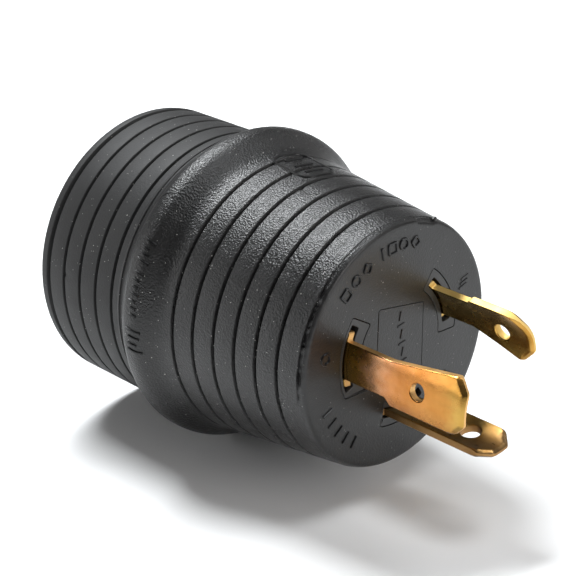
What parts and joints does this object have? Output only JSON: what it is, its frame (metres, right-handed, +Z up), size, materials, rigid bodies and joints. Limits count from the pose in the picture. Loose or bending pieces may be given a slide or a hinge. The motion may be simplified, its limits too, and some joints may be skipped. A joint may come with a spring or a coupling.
{
  "type": "power adapter dogbone",
  "caption": "One-piece moulded adapter with a ribbed waisted body: curved twist-lock blades on the narrow end, a travel-trailer socket face on the wide end.",
  "frame": {"origin": "centre of the flat plug face, on the axis of the adapter", "axes": "+X along the adapter, out through the blades; +Z up with the adapter lying on its side as it is carried; the ground blade is on the -Y side"},
  "size_m": [0.0933, 0.0598, 0.0598],
  "materials": {
    "overmould": "soft moulded PVC, fine leathery grain, satin",
    "core": "rigid moulded insulator, smooth satin",
    "fill": "dull moulded filler",
    "blade_brass": "stamped brass, lightly tarnished",
    "contact_brass": "stamped brass, clean",
    "spring_steel": "bright spring steel",
    "copper_strand": null,
    "white_insulation": "extruded PVC",
    "black_insulation": "extruded PVC",
    "green_insulation": "extruded PVC"
  },
  "bodies": {
    "root": {"overmould_body": "overmould", "blade_carrier": "core", "blade_retainer": "core", "neutral_blade": "blade_brass", "line_blade": "blade_brass", "ground_blade": "blade_brass", "contact_carrier": "core", "contact_retainer": "core", "neutral_contact": "contact_brass", "line_contact": "contact_brass", "ground_contact": "contact_brass", "neutral_contact_spring": "spring_steel", "line_contact_spring": "spring_steel", "ground_contact_spring": "spring_steel", "neutral_conductor": "copper_strand", "line_conductor": "copper_strand", "ground_conductor": "copper_strand", "neutral_insulation": "white_insulation", "line_insulation": "black_insulation", "ground_insulation": "green_insulation", "inner_fill": "fill"}
  },
  "joints": []
}
